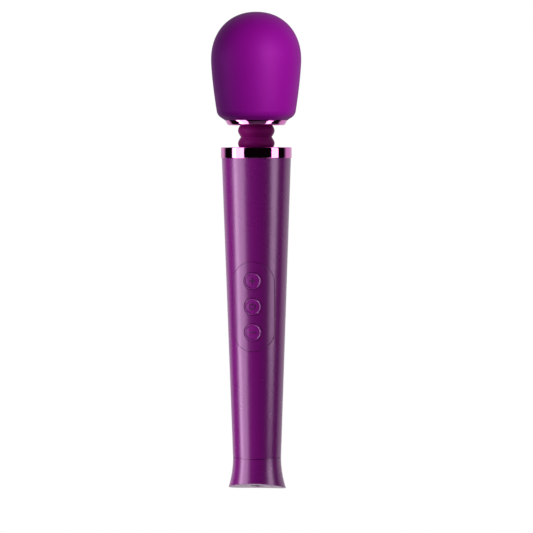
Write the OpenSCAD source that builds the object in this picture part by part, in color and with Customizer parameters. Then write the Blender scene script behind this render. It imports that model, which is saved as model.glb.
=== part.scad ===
// Handheld wand massager: a cushioned vibrating head on a flexible neck, carried by a tapered,
// battery-powered handle. Z runs up the handle's axis from the lowest point of the tail's rim,
// and the buttons face -Y. All sizes are in millimetres.

/* [Tail] */
// Height of the tail cap, from the lowest point of its rim to its seam with the tube
tail_h = 24.3; // [20:0.1:32]
// Radius of the arc that flares the tail cap out to its rim
flare_r = 72; // [60:1:120]
// Slope of the tail's end face, which is higher at the front
foot_tilt = 10.4; // [4:0.1:14]
// Radius of the arch across the tail's end face
foot_arch_r = 206; // [120:1:400]
// Radius of the charging socket's bore, for a plug of 2.5 mm
port_r = 1.3; // [1:0.05:1.6]
// Depth of the charging socket's bore
port_depth = 9; // [7:0.5:12]

/* [Tube] */
// Length of the tapered tube
tube_h = 211.6; // [190:0.1:260]
// Outer radius at the tube's top
tube_top_r = 24.4; // [23.5:0.1:30]
// Outer radius at the tail seam
tube_bottom_r = 17; // [16.6:0.1:21]
// Wall of the tube
tube_wall = 3; // [2.6:0.1:3.6]

/* [Buttons] */
// Width of the control panel, seen from the front
panel_w = 29.6; // [24:0.1:33]
// Length of the control panel
panel_l = 63; // [58:0.5:80]
// Height of the middle button above the tail seam
panel_rise = 107.7; // [90:0.1:125]
// Thickness of the control panel
panel_t = 1.8; // [1.4:0.1:2.2]
// Diameter of a button
button_d = 12; // [9:0.1:14.4]
// Distance from one button to the next
button_pitch = 18; // [16.6:0.1:20]
// Travel of a button
button_travel = 0.6; // [0.3:0.05:0.8]

/* [Collar and neck] */
// Radius of the chromed collar
collar_r = 25; // [24.8:0.1:31]
// Height of the collar
collar_h = 7.7; // [7:0.1:10]
// Length of bellows that shows between the collar and the trim ring
neck_h = 15.4; // [14:0.1:22]
// Outer radius of the neck's two bulges
neck_r = 12.9; // [12:0.1:14.5]
// Outer radius of the neck's waist
waist_r = 10.9; // [10.4:0.1:12]
// Distance from one bulge to the other
bulge_pitch = 9; // [8:0.1:12]
// Wall of the bellows
neck_wall = 1.8; // [1.2:0.1:2]

/* [Head] */
// Height of the cushion
head_h = 76.4; // [74:0.1:100]
// Largest radius of the cushion
head_r = 31.8; // [31:0.1:40]
// Radius of the cushion just above its rounded lower edge
head_low_r = 28; // [27.8:0.1:36]
// Radius of the rounded lower edge
chin_r = 6.5; // [6.2:0.1:8]
// Slope of the cushion's underside between the trim ring and the rounded edge
under_slope = 34; // [28:0.5:40]
// Height of the rounded top above the widest place
dome_rise = 33.9; // [30:0.1:44]
// Height of the chromed trim ring
trim_h = 3.5; // [3.3:0.1:4.5]
// Radius of the trim ring where it meets the cushion
trim_r = 21.9; // [21:0.1:22.4]
// Thickness of the silicone cushion
cushion_t = 3.4; // [2.4:0.1:3.6]

/* [Drive and cells] */
// Radius of the motor's can
motor_r = 13.9; // [11.6:0.1:14.2]
// Length of the motor's body
motor_len = 30; // [26:0.5:32]
// Radius of the motor's shaft
shaft_r = 1.6; // [1.3:0.05:1.9]
// Radius of the eccentric weight
weight_r = 17; // [12:0.1:20]
// Radius of a battery cell
cell_r = 9.2; // [7.6:0.1:9.4]
// Length of a battery cell
cell_len = 65.2; // [54:0.1:68]

/* [Hidden] */
$fn = 96;

// Clearances
fit = 0.15;        // between pieces that slide together once
running = 0.05;    // between the turning shaft and what it runs in
edge = 0.3;        // chamfer on the edges that meet at an outer seam

// Heights of the outer pieces
seam_z = tail_h;
collar_z = seam_z + tube_h;
neck_z = collar_z + collar_h;
trim_z = neck_z + neck_h;
head_z = trim_z + trim_h;
dome_z = head_z + head_h - dome_rise;
panel_z = seam_z + panel_rise;
button_zs = [panel_z + button_pitch, panel_z, panel_z - button_pitch];

// Tail cap and its charging socket
spigot_h = 9;
spigot_wall = 3;
tail_floor = 2.5;      // least thickness of the tail cap's end wall, at the front
seal_r = 0.95;
port_neck_r = 3;
port_body_r = 4;
grommet_r = 4.6;
grommet_hole_r = 1.6;
grommet_t = 1.45;      // on the axis
nut_t = 1.6;

// Collar, bulkhead and bellows
collar_wall = 2;
collar_flange_t = 1.8;
bead_t = 1.8;
bead_r = 15.6;
neck_gap = 0.6;        // from the bellows to the hole that it leaves by
boss_r = 2.2;
boss_depth = 3;
spring_wire_r = 0.8;
spring_r = 7;
spring_turns = 3.5;
spring_seat_r = spring_r - spring_wire_r - 0.3;
spring_seat_h = 2.5;
lead_hole_r = 3;
bulk_top = neck_z - collar_flange_t - bead_t;
bulk_skirt = 10;
socket_h = 10;
socket_wall = 2;
waist_ring_t = 2.2;
waist_z = neck_z + 0.47 * neck_h;

// Screws: thread radius, head radius and head height
screw_r = 1;
screw_head_r = 1.9;
screw_head_h = 1.4;

// Chassis and cells
chassis_wall = 2;
cell_gap = 0.3;
tab_t = 0.3;
bridge_t = 1.2;
cradle_in_r = cell_r + cell_gap;
cradle_r = cradle_in_r + chassis_wall;
chassis_z = seam_z + spigot_h + 2.4;
chassis_floor = 2;
chassis_top = collar_z - bulk_skirt;
cell_z = chassis_z + chassis_floor + tab_t;
cell_top = cell_z + 2 * cell_len + bridge_t;
rib_t = 2;
flange_x = cradle_r + 1.2;
flange_half = 2.5;
lead_r = 0.6;
lead_notch_r = 1.5;
lead_path_r = cradle_r + 1.1;
lead_rise = lead_r + 0.02;             // a lead's middle above the board that it lies on

// Main board and its switches
board_w = 19.6;
board_t = 1.6;
board_side = board_w / 2;
board_y = -(cell_r + 0.6);            // back face
board_front = board_y - board_t;
board_z0 = panel_z - button_pitch - 17;
board_z1 = panel_z + button_pitch + 22;
board_screw_x = 8;
switch_w = 6;
switch_h = 3;
plunger_r = 1.7;
plunger_h = 0.6;
plunger_tip = board_front - switch_h - plunger_h;

// Control panel and buttons
ledge = 1.5;
tape_t = 0.4;
button_r = button_d / 2;
button_gap = 0.2;
button_proud = 0.35;
button_flange_t = max(0.3, tube_wall + tape_t - panel_t - 0.3 - button_travel);
button_flange_w = 1;
rim_w = 0.9;
dish_depth = 0.5;
icon_depth = 0.25;
stem_r = 1.6;
membrane_t = 0.8;
membrane_w = panel_w - 1;
membrane_l = panel_l - 1;

// Head shells and motor
head_wall = 2.2;
lip_r = trim_r - 2;
trim_low_r = trim_r - 3;
trim_roll_r = 2;
trim_slope = 27;         // of its side, from upright
trim_flange_t = trim_h - bead_t;
trim_bead_r = 14.4;
trim_screw_pcr = trim_bead_r + screw_r + 0.4;
side_power = 1.45;
dome_power = 2.15;
split_z = head_z + 24;
tongue_h = 3;
head_floor_z = head_z + cushion_t + head_wall;
motor_ledge = 2.3;
motor_z = head_floor_z + motor_ledge;
motor_top = motor_z + motor_len;
sleeve_t = 1.6;
pocket_r = motor_r + sleeve_t;
pocket_wall = 1.8;
cover_flange_t = 2.2;
cover_column_r = 2.4;
cover_screw_pcr = pocket_r + pocket_wall + cover_column_r + 0.3;
can_wall = 1;
can_top_t = 1.2;
bushing_r = 3.2;
bushing_l = 3;
bell_t = 1.5;
core_r = motor_r - 4.3;
core_z = motor_z + 9.6;
core_l = motor_len - 16;
winding_over = 2.5;
commutator_r = 3.2;
terminal_x = 6.5;
weight_z = motor_top + 6.2;
weight_t = 12;
weight_hub_r = 5;

function lerp(a, b, t) = a + (b - a) * t;
function arc(cx, cz, r, a0, a1, n) =
    [for (i = [0:n]) let (a = lerp(a0, a1, i / n)) [cx + r * cos(a), cz + r * sin(a)]];
function unit(v) = v / norm(v);

// Outer radius of the tube, and of its bore, at a height
function tube_r(z) = lerp(tube_bottom_r, tube_top_r, (z - seam_z) / tube_h);
function bore_r(z) = tube_r(z) - tube_wall;
// Height at which the bore reaches a radius
function bore_z(r) = seam_z + (r + tube_wall - tube_bottom_r) / (tube_top_r - tube_bottom_r) * tube_h;
// Outer radius of the tail cap at a height
function tail_r(z) = tube_bottom_r + flare_r - sqrt(flare_r * flare_r - pow(tail_h - z, 2));

foot_z = tail_r(0) * tan(foot_tilt);                  // end face, on the axis
foot_front_z = foot_z + tail_r(0) * tan(foot_tilt);   // end face, at the front
tail_floor_z = foot_front_z + tail_floor;
grommet_top = foot_z + grommet_t;
nut_top = grommet_top + nut_t;
spigot_r = bore_r(seam_z) - fit;
seal_z = seam_z + 4;
collar_in_r = collar_r - collar_wall;
collar_screw_pcr = bead_r + boss_r + 0.3;
rib_zs = [chassis_z, board_z0 - 18, board_z1 + 14, chassis_top - socket_h - 4];
flange_need = norm([flange_x + screw_head_r, flange_half + screw_head_h]) + 0.3;
flange_zs = [max(bore_z(flange_need), cell_z + 12) + 4, board_z1 + 9];

// Radius of the bellows at a height, between its lower and upper ends
function neck_skin(z) =
    waist_r + (neck_r - waist_r) * pow(abs(sin(180 * (z - waist_z) / bulge_pitch)), 1.1);
neck_low_r = neck_skin(neck_z);
neck_top_r = neck_skin(trim_z);
neck_hole_r = neck_r + neck_gap;

// Half outline of the head, moved inwards by inset: sloping underside, rounded lower edge,
// leaning side, domed top
chin_x = head_low_r - chin_r;
chin_z = head_z + (chin_x + chin_r * sin(under_slope) - trim_r) * tan(under_slope) + chin_r * cos(under_slope);
side_lean = atan(side_power * (head_r - head_low_r) / (dome_z - chin_z));
function chin(inset) = arc(chin_x, chin_z, chin_r - inset, under_slope - 90, -side_lean, 8);
function under_r(inset) =
    let (c = chin(inset)[0]) c.x - (c.y - head_z - inset) / tan(under_slope);
function side_start(inset) = chin(inset)[8];
function side_r(z, inset) =
    let (s = side_start(inset), u = (z - s.y) / (dome_z - s.y))
    lerp(s.x, head_r - inset, 1 - pow(1 - u, side_power));
function side(inset) =
    let (s = side_start(inset))
    [for (i = [1:10]) let (z = lerp(s.y, dome_z, i / 10)) [side_r(z, inset), z]];
function dome(inset) =
    [for (i = [1:20]) let (a = 90 * i / 20)
        [(head_r - inset) * pow(max(cos(a), 0), 2 / dome_power),
         dome_z + (dome_rise - inset) * pow(sin(a), 2 / dome_power)]];
function head_outline(inset) =
    concat([[under_r(inset), head_z + inset]], chin(inset), side(inset), dome(inset));

// Points on a smooth curve through pts, n to each span
function curve_point(a, b, c, d, t) =
    0.5 * (2 * b + (c - a) * t + (2 * a - 5 * b + 4 * c - d) * t * t
           + (3 * b - a - 3 * c + d) * t * t * t);
function smooth(pts, n = 5) =
    let (last = len(pts) - 1)
    concat([for (i = [0:last - 1], j = [0:n - 1])
                curve_point(pts[max(i - 1, 0)], pts[i], pts[i + 1], pts[min(i + 2, last)], j / n)],
           [pts[last]]);

// A round wire of radius r along path; ref is a direction that the path never takes
module wire(path, r, ref, sides = 8) {
    last = len(path) - 1;
    rings = [for (i = [0:last])
        let (t = unit(path[min(i + 1, last)] - path[max(i - 1, 0)]),
             u = unit(cross(t, ref)),
             v = cross(u, t))
        for (k = [0:sides - 1])
            path[i] + r * (cos(360 * k / sides) * u + sin(360 * k / sides) * v)];
    walls = [for (i = [0:last - 1], k = [0:sides - 1])
        let (a = i * sides + k, b = i * sides + (k + 1) % sides)
        each [[a, b, a + sides], [b, b + sides, a + sides]]];
    caps = [[for (k = [sides - 1:-1:0]) k], [for (k = [0:sides - 1]) last * sides + k]];
    polyhedron(points = rings, faces = concat(walls, caps));
}

// A helical spring of mean radius spring_r from z0 to z1
module coil(z0, z1) {
    per_turn = 20;
    n = round(spring_turns * per_turn);
    low = z0 + spring_wire_r + 0.02;
    high = z1 - spring_wire_r - 0.02;
    wire([for (i = [0:n]) let (a = 360 * i / per_turn)
             [spring_r * cos(a), spring_r * sin(a), lerp(low, high, i / n)]],
         spring_wire_r, [0, 0, 1]);
}

module at_z(z) { translate([0, 0, z]) children(); }
module rod(r, z0, z1) { at_z(z0) cylinder(r = r, h = z1 - z0); }
module ring(r_in, r_out, z0, z1) {
    difference() {
        rod(r_out, z0, z1);
        rod(r_in, z0 - 1, z1 + 1);
    }
}
module slab(r_in, r_out, z0, z1, x0, x1, y0, y1) {
    intersection() {
        ring(r_in, r_out, z0, z1);
        translate([x0, y0, z0 - 1]) cube([x1 - x0, y1 - y0, z1 - z0 + 2]);
    }
}
module box(x0, x1, y0, y1, z0, z1) { translate([x0, y0, z0]) cube([x1 - x0, y1 - y0, z1 - z0]); }

// The layer of the tube's cone between two depths below its surface
module layer(depth0, depth1, z0, z1) {
    rotate_extrude() polygon([
        [tube_r(z0) - depth1, z0], [tube_r(z0) - depth0, z0],
        [tube_r(z1) - depth0, z1], [tube_r(z1) - depth1, z1]]);
}
// Carries a flat shape at height z out through the front of the handle
module forward(z) { at_z(z) rotate([90, 0, 0]) linear_extrude(tube_top_r + 6) children(); }
module stadium(w, l) {
    square([w, l - w], center = true);
    for (s = [-1, 1]) translate([0, s * (l - w) / 2]) circle(w / 2);
}
// A round bar along -Y, from y0 out to y1, at (x, z)
module bar_y(x, z, r, y0, y1) { translate([x, y0, z]) rotate([90, 0, 0]) cylinder(r = r, h = y0 - y1); }
// A pan-head screw standing on the origin: thread down to -l, head above, cross recess
module screw(l, r = screw_r, head_r = screw_head_r, head_h = screw_head_h) {
    difference() {
        union() {
            cylinder(r = head_r, h = head_h);
            translate([0, 0, -l]) cylinder(r = r, h = l + 0.5);
        }
        for (a = [0, 90]) rotate(a) box(-head_r * 0.6, head_r * 0.6, -0.25, 0.25, head_h * 0.45, head_h + 1);
    }
}
// The space under the tail's arched and sloping end face, raised by lift
module under_foot(lift = 0) {
    at_z(foot_z + lift) rotate([-foot_tilt, 0, 0]) at_z(-foot_arch_r)
        rotate([90, 0, 0]) cylinder(r = foot_arch_r, h = 6 * tube_bottom_r, center = true, $fn = 360);
}

// ---- Tail ----

module tail_cap() color("#6d1470") difference() {
    rotate_extrude() polygon(concat(
        [[0, -1]],
        [for (i = [0:16]) let (z = lerp(-1, seam_z - edge, i / 16)) [tail_r(z), z]],
        [[tube_bottom_r - edge, seam_z],
         [spigot_r, seam_z], [spigot_r, seal_z - seal_r],
         [bore_r(seal_z) - 2 * seal_r, seal_z - seal_r], [bore_r(seal_z) - 2 * seal_r, seal_z + seal_r],
         [spigot_r, seal_z + seal_r], [spigot_r, seam_z + spigot_h],
         [spigot_r - spigot_wall, seam_z + spigot_h],
         [spigot_r - spigot_wall, tail_floor_z], [0, tail_floor_z]]));
    under_foot();
    rod(grommet_r + 0.1, -1, nut_top);
    rod(port_neck_r + 0.1, -1, tail_floor_z + 1);
}
module tail_seal() color("#222226") at_z(seal_z) rotate_extrude()
    translate([bore_r(seal_z) - seal_r, 0]) circle(seal_r - 0.02);
module charge_jack() color("#b9bcc2") difference() {
    union() {
        rod(port_neck_r, grommet_top, tail_floor_z + 0.5);
        rod(port_body_r + 0.8, tail_floor_z, tail_floor_z + 1.5);
        rod(port_body_r, tail_floor_z + 1.5, grommet_top + port_depth + 3);
        for (s = [-1, 1]) box(s * 2 - 0.25, s * 2 + 0.25, -1, 1,
                              grommet_top + port_depth + 2, grommet_top + port_depth + 6);
    }
    rod(port_r, grommet_top - 1, grommet_top + port_depth);
}
module jack_nut() color("#c9a84c") difference() {
    at_z(grommet_top) cylinder(r = grommet_r - 0.1, h = nut_t, $fn = 6);
    rod(port_neck_r, grommet_top - 1, nut_top + 1);
}
module port_grommet() color("#2a2a2e") difference() {
    rod(grommet_r, -1, grommet_top);
    under_foot(0.2);
    rod(grommet_hole_r, -2, grommet_top + 1);
}

// ---- Tube, collar and bulkhead ----

module handle_tube() color("#6d1470") difference() {
    rotate_extrude() polygon([
        [bore_r(seam_z), seam_z], [tube_bottom_r - edge, seam_z], [tube_r(seam_z + edge), seam_z + edge],
        [tube_r(collar_z - edge), collar_z - edge], [tube_top_r - edge, collar_z],
        [bore_r(collar_z), collar_z]]);
    intersection() {
        layer(-2, panel_t, panel_z - panel_l, panel_z + panel_l);
        forward(panel_z) stadium(panel_w + 2 * fit, panel_l + 2 * fit);
    }
    forward(panel_z) stadium(panel_w - 2 * ledge, panel_l - 2 * ledge);
}
module collar_bosses(r, z0, z1) {
    for (a = [30:120:270]) rotate(a) translate([collar_screw_pcr, 0, 0]) rod(r, z0, z1);
}
module collar_ring() color("#c86bb8") difference() {
    union() {
        rotate_extrude() polygon([
            [collar_in_r, collar_z], [collar_r - edge, collar_z], [collar_r, collar_z + edge],
            [collar_r, neck_z - edge], [collar_r - edge, neck_z], [neck_hole_r, neck_z],
            [neck_hole_r, neck_z - collar_flange_t], [collar_in_r, neck_z - collar_flange_t]]);
        collar_bosses(boss_r, bulk_top - boss_depth, neck_z - collar_flange_t + 0.1);
    }
    collar_bosses(screw_r, bulk_top - boss_depth - 1, neck_z - 1);
}
module collar_screws() color("#9a9ca3")
    for (a = [30:120:270]) rotate(a) translate([collar_screw_pcr, 0, bulk_top - 2 * boss_depth])
        mirror([0, 0, 1]) screw(boss_depth + 4);
module neck_bulkhead() color("#e8e6e0") difference() {
    union() {
        rod(collar_in_r - 0.1, collar_z, bulk_top);
        rod(bore_r(chassis_top) - fit, chassis_top, collar_z);
        rod(cradle_r + fit + socket_wall, chassis_top - socket_h, chassis_top);
        rod(spring_seat_r, bulk_top, bulk_top + spring_seat_h);
    }
    rod(cradle_r + fit, chassis_top - socket_h - 1, chassis_top);
    rod(lead_hole_r, chassis_top - 1, neck_z);
    collar_bosses(boss_r + fit, bulk_top - boss_depth, neck_z);
    collar_bosses(screw_r + 0.1, chassis_top - 1, bulk_top);
    collar_bosses(screw_head_r + fit, chassis_top - 1, bulk_top - 2 * boss_depth);
    for (s = [-1, 1]) translate([0, 0, chassis_top - socket_h / 2]) rotate([s * 90, 0, 0])
        cylinder(r = screw_r + 0.1, h = cradle_r + 5);
}
module bulkhead_screws() color("#9a9ca3") for (s = [-1, 1])
    translate([0, -s * (cradle_r + fit + socket_wall), chassis_top - socket_h / 2]) rotate([s * 90, 0, 0])
        screw(fit + socket_wall + chassis_wall);

// ---- Chassis, cells and leads ----

module chassis_half(front) {
    s = front ? -1 : 1;
    difference() {
        union() {
            rod(cradle_r, chassis_z, chassis_top);
            for (z = rib_zs) rod(bore_r(z) - fit, z, z + rib_t);
            for (z = flange_zs, x = [-1, 1])
                box(x < 0 ? -flange_x - 1.8 : 0, x < 0 ? 0 : flange_x + 1.8, -flange_half, flange_half,
                    z - 3.5, z + 3.5);
            if (front) for (x = [-1, 1], z = [board_z0 + 5, board_z1 - 5])
                bar_y(x * board_screw_x, z, 1.8, 0, board_y);
        }
        rod(cradle_in_r, chassis_z + chassis_floor, chassis_top + 1);
        rod(cradle_in_r - 2.5, chassis_z - 1, chassis_z + chassis_floor + 1);
        // the other half's side, with a slit between the halves
        box(-2 * tube_top_r, 2 * tube_top_r, s < 0 ? -0.05 : -2 * tube_top_r, s < 0 ? 2 * tube_top_r : 0.05,
            chassis_z - 1, chassis_top + 1);
        for (z = flange_zs, x = [-1, 1]) bar_y(x * flange_x, z, front ? screw_r + 0.1 : screw_r, 9, -9);
        for (y = [-1, 1]) translate([0, 0, chassis_top - socket_h / 2]) rotate([y * 90, 0, 0])
            cylinder(r = screw_r, h = cradle_r + 1);
        if (front) {
            box(-board_w / 2 - fit, board_w / 2 + fit, -2 * tube_top_r, board_y,
                board_z0 - fit, board_z1 + fit);
            for (x = [-1, 1], z = [board_z0 + 5, board_z1 - 5])
                bar_y(x * board_screw_x, z, screw_r, 0, board_y - 1);
            for (x = [-1, 1], z = flange_zs)
                bar_y(x * flange_x, z, screw_head_r + fit, -flange_half, -flange_half - 12);
            // way out for the leads above the cells
            box(-7, 7, -2 * tube_top_r, 0, cell_top + 3, cell_top + 16);
        } else for (a = [45, 135]) rotate(a) {
            translate([lead_path_r, 0, chassis_z - 1]) cylinder(r = lead_notch_r, h = chassis_top - chassis_z);
            box(lead_path_r, 2 * lead_path_r, -lead_notch_r, lead_notch_r, chassis_z - 1, chassis_top - 1);
        }
    }
}
module chassis_rear() color("#3a3d44") chassis_half(false);
module chassis_front() color("#464a52") chassis_half(true);
module chassis_screws() color("#9a9ca3") for (z = flange_zs, x = [-1, 1])
    translate([x * flange_x, -flange_half, z]) rotate([90, 0, 0]) screw(2 * flange_half - 0.3);

module cell(z) {
    rod(cell_r, z, z + cell_len - 1.3);
    rod(2.8, z + cell_len - 1.3, z + cell_len);
}
module battery_cell_lower() color("#2f6fb3") cell(cell_z);
module battery_cell_upper() color("#2f6fb3") cell(cell_z + cell_len + bridge_t);
module battery_tabs() color("#c8c9cc") {
    rod(5.5, cell_z - tab_t, cell_z);
    rod(5.5, cell_z + cell_len, cell_z + cell_len + bridge_t);
    rod(5.5, cell_top, cell_top + tab_t);
}
// A point at an angle round the axis, in the channel between the cradle and the tube unless r is given
function beside(a, z, r = lead_path_r) = [r * cos(a), r * sin(a), z];
tail_gap_z = chassis_z - 1.2;
module battery_leads() color("#b3262c") {
    wire(smooth([[-3, 3, cell_z - tab_t - lead_r - 0.1], [-5.5, 5.5, tail_gap_z],
                 beside(135, tail_gap_z + 0.1, lead_path_r - 1.8),
                 beside(135, tail_gap_z + 1.4, lead_path_r + 0.1),
                 beside(135, chassis_z + 4), beside(135, board_z0 - 15),
                 beside(172, board_z0 - 9, lead_path_r + 0.6),
                 [-board_side - 0.7, board_y + 0.3, board_z0 - 4],
                 [-8, board_front - lead_rise, board_z0 - 0.8],
                 [-7.3, board_front - lead_rise, board_z0 + 1.5]]),
         lead_r, [0.4, 0.1, 0.2]);
    wire(smooth([[0, -3.4, cell_top + tab_t + lead_r + 0.1], [-2.5, -6.5, cell_top + 5],
                 [-4.6, board_front - 0.5, cell_top + 6.5], [-6, board_front - lead_rise, board_z1 - 1.5]]),
         lead_r, [1, 0, 0.1]);
}
module charge_leads() color("#26282c") for (s = [-1, 1])
    wire(smooth([[s * 2, 0, grommet_top + port_depth + 6 + lead_r + 0.05],
                 [3 + s * 1.2, 3 - s * 1.2, chassis_z - 5],
                 [5.8 + s * 0.55, 5.8 - s * 0.55, tail_gap_z],
                 beside(45 - s * 3.8, tail_gap_z + 0.1, lead_path_r - 1.8),
                 beside(45 - s * 3.3, tail_gap_z + 1.4, lead_path_r + 0.1),
                 beside(45 - s * 3.3, chassis_z + 4), beside(45 - s * 3.3, board_z0 - 15 - s * 0.3),
                 beside(8, board_z0 - 9 - s * 0.8, lead_path_r + 0.6),
                 [board_side + 0.7 - s * 0.5, board_y + 0.3, board_z0 - 4 - s * 0.7],
                 [7.6 - s * 0.9, board_front - lead_rise, board_z0 - 0.8],
                 [7 - s * 0.9, board_front - lead_rise, board_z0 + 1.5]]),
         lead_r, [-0.4, 0.1, 0.2]);
module motor_leads() color("#d8d4cc") for (s = [-1, 1])
    wire(smooth([[s * 1.2, board_front - lead_rise, board_z1 - 2], [s * 1.2, board_front - 0.6, cell_top + 7],
                 [s * 1.2, -4, cell_top + 15], [s * 1.2, 0, cell_top + 24],
                 [s * 1.2, 0, chassis_top - 4], [s * 1.2, 0, bulk_top], [s * 1.2, 0, waist_z],
                 [s * 1.2, 0, head_z], [s * 1.3, 0, head_floor_z - 0.6],
                 [s * 2.1, 0, head_floor_z + 0.8], [s * 3.8, 0, head_floor_z + 1.2],
                 [s * (terminal_x - 0.5), 0, head_floor_z + 1.2]]),
         lead_r, [0.05, 1, 0.02]);

// ---- Board, switches and buttons ----

module main_board() color("#1d5a34") difference() {
    box(-board_w / 2, board_w / 2, board_front, board_y, board_z0, board_z1);
    for (x = [-1, 1], z = [board_z0 + 5, board_z1 - 5])
        bar_y(x * board_screw_x, z, screw_r + 0.1, 0, board_front - 1);
}
module board_screws() color("#9a9ca3") for (x = [-1, 1], z = [board_z0 + 5, board_z1 - 5])
    translate([x * board_screw_x, board_front, z]) rotate([90, 0, 0]) screw(board_t + 1.6);
// Chips as [x, height above the middle button, width, length, thickness]
chips = [[0, 9, 5, 5, 1], [-6, 9, 3, 4, 1.2], [6, 9, 4, 4, 2], [0, -9, 7, 5, 1.2],
         [-7, -9, 2, 3, 1], [6.5, -9, 3, 2, 0.8], [0, -28, 9, 4, 2.6], [0, 33, 8, 4, 2.6], [4, 26, 3, 2, 0.8]];
module board_components() color("#17181b") for (c = chips)
    box(c[0] - c[2] / 2, c[0] + c[2] / 2, board_front - c[4], board_front,
        panel_z + c[1] - c[3] / 2, panel_z + c[1] + c[3] / 2);
module switch_housings() color("#30333a") for (z = button_zs) difference() {
    box(-switch_w / 2, switch_w / 2, board_front - switch_h, board_front, z - switch_w / 2, z + switch_w / 2);
    bar_y(0, z, plunger_r + 0.1, board_front - switch_h + 0.6 + button_travel, board_front - switch_h - 1);
}
module plunger(z) { bar_y(0, z, plunger_r, board_front - switch_h + 0.5, plunger_tip); }
module plunger_plus() color("#d9d9d6") plunger(button_zs[0]);
module plunger_power() color("#d9d9d6") plunger(button_zs[1]);
module plunger_minus() color("#d9d9d6") plunger(button_zs[2]);

module control_panel() color("#661068") difference() {
    intersection() {
        layer(0, panel_t, panel_z - panel_l, panel_z + panel_l);
        forward(panel_z) stadium(panel_w, panel_l);
    }
    for (z = button_zs) bar_y(0, z, button_r + button_gap, 0, -2 * tube_top_r);
}
module keypad_tape() color("#dedbd2") intersection() {
    layer(tube_wall, tube_wall + tape_t, panel_z - panel_l, panel_z + panel_l);
    forward(panel_z) difference() {
        stadium(membrane_w, membrane_l);
        stadium(panel_w - 2 * ledge, panel_l - 2 * ledge);
    }
}
module keypad_membrane() color("#4c4f57") difference() {
    intersection() {
        layer(tube_wall + tape_t, tube_wall + tape_t + membrane_t, panel_z - panel_l, panel_z + panel_l);
        forward(panel_z) stadium(membrane_w, membrane_l);
    }
    for (z = button_zs) bar_y(0, z, stem_r + 0.1, 0, -2 * tube_top_r);
}
// A button at height z; the child is its flat icon
module button(z) difference() {
    union() {
        intersection() {
            layer(-button_proud, panel_t + 0.1 + button_flange_t, z - button_d, z + button_d);
            bar_y(0, z, button_r, 0, -2 * tube_top_r);
        }
        intersection() {
            layer(panel_t + 0.1, panel_t + 0.1 + button_flange_t, z - button_d, z + button_d);
            bar_y(0, z, button_r + button_flange_w, 0, -2 * tube_top_r);
        }
        bar_y(0, z, stem_r, plunger_tip, plunger_tip - 4);
    }
    intersection() {
        layer(-button_proud - 1, dish_depth - button_proud, z - button_d, z + button_d);
        bar_y(0, z, button_r - rim_w, 0, -2 * tube_top_r);
    }
    intersection() {
        layer(-button_proud - 1, dish_depth - button_proud + icon_depth, z - button_d, z + button_d);
        forward(z) children();
    }
}
icon_l = 4.6;
icon_w = 0.7;
module button_plus() color("#7a1f7c") button(button_zs[0]) {
    square([icon_l, icon_w], center = true);
    square([icon_w, icon_l], center = true);
}
module button_power() color("#7a1f7c") button(button_zs[1]) {
    difference() {
        circle(icon_l / 2);
        circle(icon_l / 2 - icon_w);
        translate([0, icon_l / 2]) square([2.2 * icon_w, icon_l], center = true);
    }
    translate([0, icon_l / 4 + icon_w / 2]) square([icon_w, icon_l / 2], center = true);
}
module button_minus() color("#7a1f7c") button(button_zs[2]) square([icon_l, icon_w], center = true);

// ---- Neck ----

module neck_bellows() color("#6f1160") rotate_extrude() polygon(concat(
    [[neck_low_r - neck_wall, bulk_top], [bead_r, bulk_top], [bead_r, bulk_top + bead_t],
     [neck_low_r, bulk_top + bead_t]],
    [for (i = [0:28]) let (z = lerp(neck_z, trim_z, i / 28)) [neck_skin(z), z]],
    [[neck_top_r, head_z - bead_t], [trim_bead_r, head_z - bead_t], [trim_bead_r, head_z],
     [neck_top_r - neck_wall, head_z]],
    [for (i = [0:28]) let (z = lerp(trim_z, neck_z, i / 28)) [neck_skin(z) - neck_wall, z]]));
module neck_waist_ring() color("#d8d6cf") difference() {
    union() {
        rod(waist_r - neck_wall - 0.05, waist_z - waist_ring_t / 2, waist_z + waist_ring_t / 2);
        rod(spring_seat_r, waist_z - waist_ring_t / 2 - 1.2, waist_z + waist_ring_t / 2 + 1.2);
    }
    rod(spring_seat_r - 1.6, neck_z, trim_z);
}
module neck_spring_lower() color("#b4b6bb") coil(bulk_top, waist_z - waist_ring_t / 2);
module neck_spring_upper() color("#b4b6bb") coil(waist_z + waist_ring_t / 2, head_z);

// ---- Head ----

module head_solid(inset) rotate_extrude()
    polygon(concat([[0, head_z + inset]], head_outline(inset), [[0, dome_z + dome_rise - inset]]));
module head_cushion() color("#86178f") difference() {
    head_solid(0);
    head_solid(cushion_t);
    rod(lip_r, head_z - 1, head_z + cushion_t + 1);
}
module trim_holes(r, z0, z1) {
    for (a = [90:120:330]) rotate(a) translate([trim_screw_pcr, 0, 0]) rod(r, z0, z1);
}
module trim_ring() color("#c86bb8") difference() {
    rotate_extrude() polygon(concat(
        [[neck_top_r + neck_gap, trim_z]],
        arc(trim_low_r, trim_z + trim_roll_r, trim_roll_r, -90, -trim_slope, 8),
        [[trim_r, head_z], [trim_bead_r + 0.02, head_z],
         [trim_bead_r + 0.02, trim_z + trim_flange_t], [neck_top_r + neck_gap, trim_z + trim_flange_t]]));
    trim_holes(screw_r, trim_z + 0.4, head_z + 1);
}
module trim_screws() color("#9a9ca3")
    for (a = [90:120:330]) rotate(a) translate([trim_screw_pcr, 0, head_floor_z - 2])
        screw(head_floor_z - 2 - trim_z - 0.6);
module cover_columns(r, z0, z1) {
    for (a = [30:120:270]) rotate(a) translate([cover_screw_pcr, 0, 0]) rod(r, z0, z1);
}
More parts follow.
